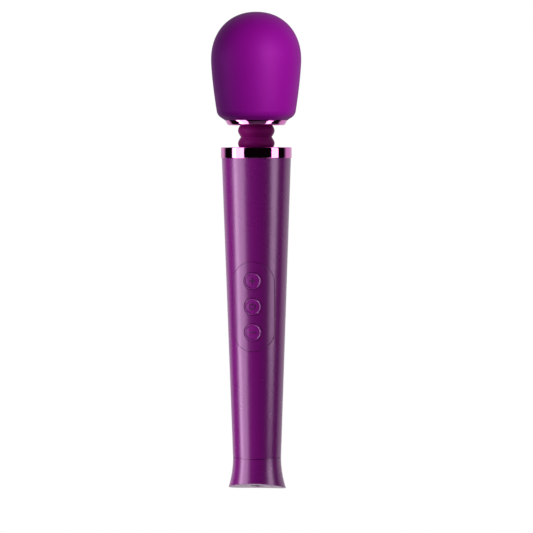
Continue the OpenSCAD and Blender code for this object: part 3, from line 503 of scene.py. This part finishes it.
steel = finish("screw steel", linear(150, 152, 158), linear(128, 130, 136), (0.25, 0.42), grain=4000,
               bump=0.08, patch=300, Metallic=1.0)
nickel = finish("nickel plate", linear(196, 194, 188), linear(172, 170, 164), (0.18, 0.3), grain=4000,
                bump=0.05, patch=250, Metallic=1.0)
brass = finish("brass", linear(202, 160, 84), linear(176, 132, 62), (0.22, 0.4), grain=4000, bump=0.08,
               patch=300, Metallic=1.0)
copper = finish("copper", linear(196, 112, 70), linear(160, 84, 50), (0.25, 0.42), grain=5000, bump=0.1,
                patch=400, Metallic=1.0)
aluminium = finish("cast aluminium", linear(168, 170, 174), linear(148, 150, 155), (0.35, 0.5),
                   grain=2500, bump=0.12, patch=120, Metallic=1.0)
white_plastic = finish("ivory moulding", linear(226, 223, 214), linear(214, 210, 199), (0.4, 0.55),
                       grain=2200, bump=0.08, patch=60, dust=0.1)
dark_plastic = finish("slate moulding", linear(58, 61, 68), linear(48, 51, 58), (0.4, 0.55),
                      grain=2200, bump=0.1, patch=60, dust=0.1)
laminate = finish("green laminate", linear(28, 92, 54), linear(22, 78, 46), (0.3, 0.45), grain=3000,
                  bump=0.15, patch=500)
foam = finish("foam tape", linear(222, 219, 210), linear(205, 201, 190), (0.8, 0.95), grain=3200,
              bump=0.4, patch=400)
key_rubber = finish("key mat rubber", linear(76, 79, 87), linear(66, 69, 77), (0.55, 0.7), grain=2600,
                    bump=0.1, patch=120)
cell_wrap = finish("cell sleeve", linear(47, 111, 179), linear(38, 96, 160), (0.25, 0.35), grain=900,
                   bump=0.06, patch=80)
lead_colours = {"red": (150, 30, 36), "black": (36, 37, 41), "white": (216, 212, 204)}
leads = {tint: finish(tint + " lead", linear(*rgb), linear(*[c * 0.85 for c in rgb]), (0.35, 0.5),
                      grain=3000, bump=0.06, patch=200) for tint, rgb in lead_colours.items()}

INNER_FINISHES = [
    (steel, "collar_screws bulkhead_screws chassis_screws board_screws trim_screws motor_screws "
            "motor_cover_screws weight_screw motor_shaft armature_core"),
    (nickel, "charge_jack battery_tabs motor_can"),
    (brass, "jack_nut motor_bushings motor_terminals eccentric_weight"),
    (copper, "motor_brushes armature_windings commutator"),
    (aluminium, "motor_cover"),
    (white_plastic, "neck_bulkhead neck_waist_ring head_base head_dome motor_end_bell "
                    "plunger_plus plunger_power plunger_minus"),
    (dark_plastic, "chassis_rear chassis_front board_components switch_housings motor_magnets"),
    (laminate, "main_board"), (foam, "keypad_tape"), (key_rubber, "keypad_membrane"),
    (cell_wrap, "battery_cell_lower battery_cell_upper"), (rubber, "motor_sleeve"),
    (leads["red"], "battery_leads"), (leads["black"], "charge_leads"),
]
for material, names in INNER_FINISHES:
    for name in names.split():
        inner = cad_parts[name]
        if not inner.material_slots:
            inner.data.materials.append(material)
        for holder in inner.material_slots:
            holder.material = material

# ------------------------------------------------------------- chromed collar
# A pressed ring, vacuum-plated in a violet-tinted chrome, that caps the barrel's open end.
# Its in-turned flange holds the bellows' lower bead down on the bulkhead.

COLLAR_R, COLLAR_IN_R, COLLAR_TOP = 25.0, 23.0, 243.6
COLLAR_FLANGE, COLLAR_FOOT_R, COLLAR_BROW_R = 1.8, 0.35, 0.6
NECK_HOLE_R, NECK_HOLE_EDGE = 13.5, 0.4
BOSS_PITCH_R, BOSS_R, BOSS_Z, BOSS_CAP = 18.1, 2.2, 237.0, 0.2
BOSS_TOP = COLLAR_TOP - COLLAR_FLANGE
SCREW_WAY_R = 1.03
chrome = finish("tinted chrome", linear(226, 128, 203), linear(220, 120, 197), (0.035, 0.06),
                grain=600, bump=0.008, patch=24, dust=0.03, speck=300, Metallic=1.0)

collar_outline = [(COLLAR_IN_R, COLLAR_Z), (COLLAR_R - COLLAR_FOOT_R, COLLAR_Z)]
collar_outline += arc_points(COLLAR_R - COLLAR_FOOT_R, COLLAR_Z + COLLAR_FOOT_R, COLLAR_FOOT_R, -60, 0, 4)
collar_outline += [(COLLAR_R, COLLAR_Z + 2), (COLLAR_R, COLLAR_TOP - 2)]
collar_outline += arc_points(COLLAR_R - COLLAR_BROW_R, COLLAR_TOP - COLLAR_BROW_R, COLLAR_BROW_R, 0, 90, 6)
collar_outline += [(NECK_HOLE_R + NECK_HOLE_EDGE + 0.1, COLLAR_TOP)]
collar_outline += arc_points(NECK_HOLE_R + NECK_HOLE_EDGE, COLLAR_TOP - NECK_HOLE_EDGE, NECK_HOLE_EDGE,
                             90, 180, 4)
collar_outline += [(NECK_HOLE_R, COLLAR_TOP - COLLAR_FLANGE), (COLLAR_IN_R, COLLAR_TOP - COLLAR_FLANGE)]
collar = turned("chrome_collar", collar_outline, steps=256)
soften(collar, 40)
for turn in (30, 150, 270):
    at = {"x": BOSS_PITCH_R * cos(radians(turn)), "y": BOSS_PITCH_R * sin(radians(turn))}
    boss = upright_bar("collar_boss_%d" % turn, BOSS_R, BOSS_Z, BOSS_TOP, 32, **at)
    cut(boss, upright_bar("screw_way", SCREW_WAY_R, BOSS_Z - CUT_PAST, BOSS_TOP - BOSS_CAP, 24, **at))
    soften(boss)
    dress(boss, chrome, "handle")
dress(collar, chrome, "handle", ["collar_ring"])

# ------------------------------------------------------------------- bellows
# A soft silicone sleeve with two bulges, moulded in one piece, that hides the spring joint.
# It is made in two halves that meet at its waist; each half's pivot is listed below, but nothing here
# makes it bend.

WAIST_Z, TRIM_Z, HEAD_Z = 250.838, 259.0, 262.5
WAIST_R, BULGE, BULGE_PITCH, NECK_WALL = 10.9, 2.0, 9.0, 1.8
BULK_TOP, BEAD_T, BEAD_R, UPPER_BEAD_R, BEAD_EDGE = 240.0, 1.8, 15.6, 14.4, 0.3


def neck_r(z):
    """Outer radius of the bellows at a height, in millimetres."""
    return WAIST_R + BULGE * abs(sin(pi * (z - WAIST_Z) / BULGE_PITCH)) ** 1.1


# Its base colour is darker than the cushion's: partly the sleeve's own violet, partly painted shade from
# the head above it.
neck_silicone_with_shade = finish("neck silicone", linear(100, 4, 81), linear(94, 3, 76), (0.5, 0.58), grain=1600,
                       bump=0.08, patch=120, dust=0.05, speck=700, Specular_IOR_Level=0.08,
                       Specular_Tint=(1, 0.5, 1, 1))
rise = [COLLAR_TOP + (WAIST_Z - COLLAR_TOP) * i / 26 for i in range(27)]
lower_outline = [(neck_r(COLLAR_TOP) - NECK_WALL, BULK_TOP), (BEAD_R - BEAD_EDGE, BULK_TOP),
                 (BEAD_R, BULK_TOP + BEAD_EDGE), (BEAD_R, BULK_TOP + BEAD_T - BEAD_EDGE),
                 (BEAD_R - BEAD_EDGE, BULK_TOP + BEAD_T), (neck_r(COLLAR_TOP), BULK_TOP + BEAD_T)]
lower_outline += [(neck_r(z), z) for z in rise]
lower_outline += [(neck_r(z) - NECK_WALL, z) for z in reversed(rise[::2])]
fall = [WAIST_Z + (TRIM_Z - WAIST_Z) * i / 26 for i in range(27)]
upper_outline = [(neck_r(z), z) for z in fall]
upper_outline += [(neck_r(TRIM_Z), HEAD_Z - BEAD_T), (UPPER_BEAD_R - BEAD_EDGE, HEAD_Z - BEAD_T),
                  (UPPER_BEAD_R, HEAD_Z - BEAD_T + BEAD_EDGE), (UPPER_BEAD_R, HEAD_Z - BEAD_EDGE),
                  (UPPER_BEAD_R - BEAD_EDGE, HEAD_Z), (neck_r(TRIM_Z) - NECK_WALL, HEAD_Z)]
upper_outline += [(neck_r(z) - NECK_WALL, z) for z in reversed(fall[::2])]
bellows_lower = turned("bellows_lower", lower_outline, steps=160)
bellows_upper = turned("bellows_upper", upper_outline, steps=160)
for half in (bellows_lower, bellows_upper):
    soften(half, 50)
    dress(half, neck_silicone_with_shade, stands_for=["neck_bellows"])
LOWER_BEND = {"a": "handle", "b": "neck_mid", "start": (0, 0, 0.2436), "end": (0, 0, 0.2491)}
UPPER_BEND = {"a": "neck_mid", "b": "head", "start": (0, 0, 0.2526), "end": (0, 0, 0.2581)}
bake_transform(bellows_lower)
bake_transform(bellows_upper)

# -------------------------------------------------- neck springs and motor leads
# Two steel coils carry the head and let it nod; the motor's two leads run up the middle
# of them with a little slack. Each comes in pieces split at the waist, one for each half of the neck.

COIL_R, COIL_WIRE_R, COIL_TURNS, COIL_END = 7.0, 0.8, 3.5, 0.05
spring_steel = finish("spring steel", linear(150, 152, 158), linear(120, 122, 128), (0.25, 0.4),
                      grain=4000, bump=0.05, patch=300, Metallic=1.0)


def coil(name, z0, z1):
    """A ring of wire carried up a helix, as the spring is wound."""
    bpy.ops.object.select_all(action="DESELECT")
    low, high = z0 + COIL_WIRE_R + COIL_END, z1 - COIL_WIRE_R - COIL_END
    bpy.ops.mesh.primitive_circle_add(vertices=12, radius=COIL_WIRE_R * MM, fill_type="NOTHING",
                                      location=(COIL_R * MM, 0, low * MM), rotation=(pi / 2, 0, 0))
    wire = name_new(name)
    wind = wire.modifiers.new("wind", "SCREW")
    wind.axis, wind.angle = "Z", 2 * pi * COIL_TURNS
    wind.screw_offset = (high - low) * MM
    wind.steps = wind.render_steps = int(32 * COIL_TURNS)
    wind.use_smooth_shade = True
    pick_out(wire)
    bpy.ops.object.modifier_apply(modifier=wind.name)
    edit(wire)
    bpy.ops.mesh.select_all(action="DESELECT")
    bpy.ops.mesh.select_mode(type="EDGE")
    bpy.ops.mesh.select_non_manifold()
    bpy.ops.mesh.edge_face_add()
    bpy.ops.mesh.select_all(action="SELECT")
    bpy.ops.mesh.normals_make_consistent(inside=False)
    leave_edit()
    return wire


for name, low, high, bend in (("neck_coil_lower", BULK_TOP, 249.74, LOWER_BEND),
                              ("neck_coil_upper", 251.94, HEAD_Z, UPPER_BEND)):
    wire = coil(name, low, high)
    soften(wire, 50)
    dress(wire, spring_steel, stands_for=[name.replace("coil", "spring")])
    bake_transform(wire)

LEAD_R, LEAD_X = 0.58, 1.2
BOARD_Y, BOARD_TOP, CELL_TOP = -12.02, 172.0, 169.6
TERMINAL_X, FLOOR_OF_HEAD = 6.5, 268.1


def lead_run(name, points):
    """A wire drawn along smooth points and closed at its ends."""
    path = bpy.data.curves.new(name, "CURVE")
    path.dimensions, path.bevel_depth, path.bevel_resolution = "3D", LEAD_R * MM, 3
    path.use_fill_caps, path.resolution_u = True, 6
    line = path.splines.new("BEZIER")
    line.bezier_points.add(len(points) - 1)
    for knot, point in zip(line.bezier_points, points):
        knot.co = Vector(point) * MM
        knot.handle_left_type = knot.handle_right_type = "AUTO"
    run = bpy.data.objects.new(name, path)
    bpy.context.scene.collection.objects.link(run)
    pick_out(run)
    bpy.ops.object.convert(target="MESH")
    run = bpy.context.object
    edit(run)
    bpy.ops.mesh.remove_doubles(threshold=1e-6)
    bpy.ops.mesh.normals_make_consistent(inside=False)
    leave_edit()
    return run


for side in (-1, 1):
    low = [(side * LEAD_X, BOARD_Y, BOARD_TOP - 2), (side * LEAD_X, BOARD_Y - 0.2, CELL_TOP + 6),
           (side * LEAD_X, -4, CELL_TOP + 15), (side * LEAD_X, 0, CELL_TOP + 24),
           (side * LEAD_X, 0, 222), (side * LEAD_X, 0, 240)]
    low += [(side * LEAD_X, 0, z) for z in (243.6, 245, 246.4, 247.8, 249.1, WAIST_Z)]
    high = [(side * LEAD_X, 0, z) for z in (WAIST_Z, 252.6, 254, 255.4, 256.8, 258.1, 262.5)]
    high += [(side * 1.3, 0, FLOOR_OF_HEAD - 0.6), (side * 2.1, 0, FLOOR_OF_HEAD + 0.8),
             (side * 3.8, 0, FLOOR_OF_HEAD + 1.2), (side * (TERMINAL_X - 0.5), 0, FLOOR_OF_HEAD + 1.2)]
    hand = "left" if side < 0 else "right"
    for name, points, bend in (("motor_lead_low_" + hand, low, LOWER_BEND),
                               ("motor_lead_high_" + hand, high, UPPER_BEND)):
        run = lead_run(name, points)
        soften(run, 50)
        dress(run, leads["white"], stands_for=["motor_leads"])
        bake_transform(run)

# ------------------------------------------------------------------ trim ring
# The second tinted-chrome ring, a shallow dish under the head. It clamps the bellows' upper
# bead against the head's floor, and three screws from above hold it.

TRIM_HOLE_R, TRIM_LOW_R, TRIM_TOP_R = 12.0, 18.9, 21.88
TRIM_ROLL_R, TRIM_FLOOR, TRIM_SEAT_R = 2.0, 1.7, UPPER_BEAD_R + 0.02
trim_outline = [(TRIM_HOLE_R, TRIM_Z + 0.2), (TRIM_HOLE_R + 0.2, TRIM_Z), (TRIM_LOW_R, TRIM_Z)]
trim_outline += arc_points(TRIM_LOW_R, TRIM_Z + TRIM_ROLL_R, TRIM_ROLL_R, -84, -27, 12)
trim_outline += [(21.3, HEAD_Z - 1.18), (TRIM_TOP_R, HEAD_Z - 0.05), (TRIM_TOP_R, HEAD_Z),
                 (TRIM_SEAT_R, HEAD_Z), (TRIM_SEAT_R, TRIM_Z + TRIM_FLOOR),
                 (TRIM_HOLE_R, TRIM_Z + TRIM_FLOOR)]
trim = turned("chrome_trim", trim_outline, steps=256)
soften(trim, 40)
dress(trim, chrome, "head", ["trim_ring"])

# --------------------------------------------------------------- head cushion
# The head's soft cap: a thick skin of violet silicone, moulded matt and slightly velvety,
# stretched over the two head shells and tucked in under the trim ring.

HEAD_R, CHIN_R, CHIN_X, CHIN_Z = 31.8, 6.5, 21.5, 270.0705
DOME_Z, DOME_RISE, SKIN = 305.0, 33.9, 3.4
CHIN_FROM, CHIN_TO = -56.0, -8.964
SIDE_CURVE, DOME_SQUARE = 1.45, 2 / 2.15
TRIM_R, LIP_R = 21.9, 19.9


def side_profile(inset, count):
    """The leaning side of the cushion, from the lower edge up to the widest place."""
    r0 = CHIN_X + (CHIN_R - inset) * cos(radians(CHIN_TO))
    z0 = CHIN_Z + (CHIN_R - inset) * sin(radians(CHIN_TO))
    steps = [i / count for i in range(1, count + 1)]
    return [(r0 + (HEAD_R - inset - r0) * (1 - (1 - u) ** SIDE_CURVE), z0 + (DOME_Z - z0) * u)
            for u in steps]


def dome_profile(inset, count):
    """The rounded top, a slightly squared ellipse from the widest place up to the axis."""
    angles = [pi / 2 * i / count for i in range(1, count + 1)]
    return [((HEAD_R - inset) * max(cos(a), 0) ** DOME_SQUARE,
             DOME_Z + (DOME_RISE - inset) * sin(a) ** DOME_SQUARE) for a in angles]


head_silicone = finish("head silicone", linear(147, 11, 154), linear(142, 9, 149), (0.52, 0.6), grain=1300,
                       bump=0.08, patch=26, dust=0.04, speck=520, Metallic=0.1, Specular_IOR_Level=0.09)
cushion_outline = [(0, DOME_Z + DOME_RISE - SKIN)]
cushion_outline += list(reversed(dome_profile(SKIN, 18)[:-1]))
cushion_outline += list(reversed(side_profile(SKIN, 10)))
cushion_outline += list(reversed(arc_points(CHIN_X, CHIN_Z, CHIN_R - SKIN, CHIN_FROM, CHIN_TO, 6)))
cushion_outline += [(LIP_R, HEAD_Z + SKIN), (LIP_R, HEAD_Z), (TRIM_R - 0.1, HEAD_Z),
                    (TRIM_R + 0.12, HEAD_Z + 0.06)]
cushion_outline += arc_points(CHIN_X, CHIN_Z, CHIN_R, CHIN_FROM, CHIN_TO, 14)
cushion_outline += side_profile(0, 24)
cushion_outline += dome_profile(0, 48)
cushion = turned("head_cap", cushion_outline, steps=224)
soften(cushion, 50)
dress(cushion, head_silicone, "head", ["head_cushion"])

# ------------------------------------------------------------ floor and light
# A plain pale studio: a bright backdrop behind the object, tall soft boxes in front of it
# to the left and right, two small lamps that light only the cushion, and a pale floor far below.

CAMERA_TURN, CAMERA_FAR, CAMERA_HIGH = 8.0, 2.08, 0.240
AIM_RIGHT, AIM_HIGH, CAMERA_ROLL = 0.0070, 0.1594, radians(-0.12)
LENS, SENSOR = 199.0, 36.0
STUDIO_FLOOR_Z = -2.0

bpy.ops.object.select_all(action="DESELECT")
bpy.ops.mesh.primitive_plane_add(size=5, location=(0, 0, STUDIO_FLOOR_Z))
floor = name_new("studio_floor")
paper = bpy.data.materials.new("studio paper")
paper.use_nodes = True
tree = paper.node_tree
sheet = tree.nodes["Principled BSDF"]
sheet.inputs["Base Color"].default_value = (0.3, 0.3, 0.31, 1)
sheet.inputs["Roughness"].default_value = 0.9
glow = node(tree, "ShaderNodeLightPath")
lift = node(tree, "ShaderNodeMath", operation="MULTIPLY")
lift.inputs[1].default_value = 0.97
tree.links.new(glow.outputs["Is Camera Ray"], lift.inputs[0])
sheet.inputs["Emission Color"].default_value = (1, 1, 1, 1)
tree.links.new(lift.outputs["Value"], sheet.inputs["Emission Strength"])
clear = node(tree, "ShaderNodeBsdfTransparent")
either = node(tree, "ShaderNodeMixShader")
face = node(tree, "ShaderNodeNewGeometry")
tree.links.new(face.outputs["Backfacing"], either.inputs["Fac"])
tree.links.new(sheet.outputs["BSDF"], either.inputs[1])
tree.links.new(clear.outputs["BSDF"], either.inputs[2])
tree.links.new(either.outputs["Shader"], tree.nodes["Material Output"].inputs["Surface"])
floor.data.materials.append(paper)

world = bpy.data.worlds.new("studio")
bpy.context.scene.world = world
world.use_nodes = True
sky = world.node_tree
sky.nodes.clear()
out = node(sky, "ShaderNodeOutputWorld")
white = node(sky, "ShaderNodeBackground", in_Color=(1, 1, 1, 1), in_Strength=1.0)
room = node(sky, "ShaderNodeBackground")
ray = node(sky, "ShaderNodeLightPath")
choose = node(sky, "ShaderNodeMixShader")
look = node(sky, "ShaderNodeTexCoord")
split = node(sky, "ShaderNodeSeparateXYZ")
behind = node(sky, "ShaderNodeMapRange", interpolation_type="SMOOTHSTEP",
              in_From_Min=0.33, in_From_Max=0.60, in_To_Min=0.004, in_To_Max=0.98)
sky.links.new(look.outputs["Generated"], split.inputs["Vector"])
sky.links.new(split.outputs["Y"], behind.inputs["Value"])
sky.links.new(behind.outputs["Result"], room.inputs["Strength"])
sky.links.new(ray.outputs["Is Camera Ray"], choose.inputs["Fac"])
sky.links.new(room.outputs["Background"], choose.inputs[1])
sky.links.new(white.outputs["Background"], choose.inputs[2])
sky.links.new(choose.outputs["Shader"], out.inputs["Surface"])


def soft_box(name, turn, far, high, width, height, power, on_cushion=False, tint=(1, 1, 1)):
    """A soft box so many degrees right of the camera. It lights the cushion alone, or all else."""
    lamp = bpy.data.lights.new(name, "AREA")
    lamp.shape, lamp.size, lamp.size_y = "RECTANGLE", width, height
    lamp.energy, lamp.color = power, tint
    stand = bpy.data.objects.new(name, lamp)
    bpy.context.scene.collection.objects.link(stand)
    a = radians(CAMERA_TURN + turn)
    stand.location = (far * sin(a), -far * cos(a), high)
    stand.visible_camera = False
    aim = Vector((0, 0, high)) - stand.location
    stand.rotation_euler = aim.to_track_quat("-Z", "Y").to_euler()
    flagged = bpy.data.collections.new(name + "_flags")
    flagged.objects.link(cushion)
    flagged.collection_objects[0].light_linking.link_state = "INCLUDE" if on_cushion else "EXCLUDE"
    stand.light_linking.receiver_collection = flagged


soft_box("box_left", -60, 1.2, -0.30, 0.83, 3.2, 30)
soft_box("box_left_core", -77, 1.21, -0.30, 0.30, 3.2, 15)
soft_box("box_right", 63, 1.2, 0.60, 0.52, 1.4, 9)
soft_box("box_right_low", 63, 1.2, -1.15, 0.52, 1.4, 9)
soft_box("box_head", 33, 0.40, 0.37, 0.2, 0.2, 1.68, on_cushion=True, tint=(1.0, 0.92, 0.94))
soft_box("box_head_fill", -84, 1.0, 0.30, 0.5, 0.5, 2.7, on_cushion=True, tint=(0.88, 0.9, 1.0))

camera = bpy.data.objects.new("camera", bpy.data.cameras.new("camera"))
bpy.context.scene.collection.objects.link(camera)
bpy.context.scene.camera = camera
camera.data.sensor_width, camera.data.lens = SENSOR, LENS
turn = radians(CAMERA_TURN)
camera.location = (CAMERA_FAR * sin(turn), -CAMERA_FAR * cos(turn), CAMERA_HIGH)
aim_at = Vector((AIM_RIGHT * cos(turn), AIM_RIGHT * sin(turn), AIM_HIGH))
camera.rotation_euler = ((aim_at - camera.location).to_track_quat("-Z", "Y")
                         @ Quaternion((0, 0, 1), CAMERA_ROLL)).to_euler()

bpy.context.scene.view_settings.view_transform = "Standard"

bpy.context.view_layer.update()
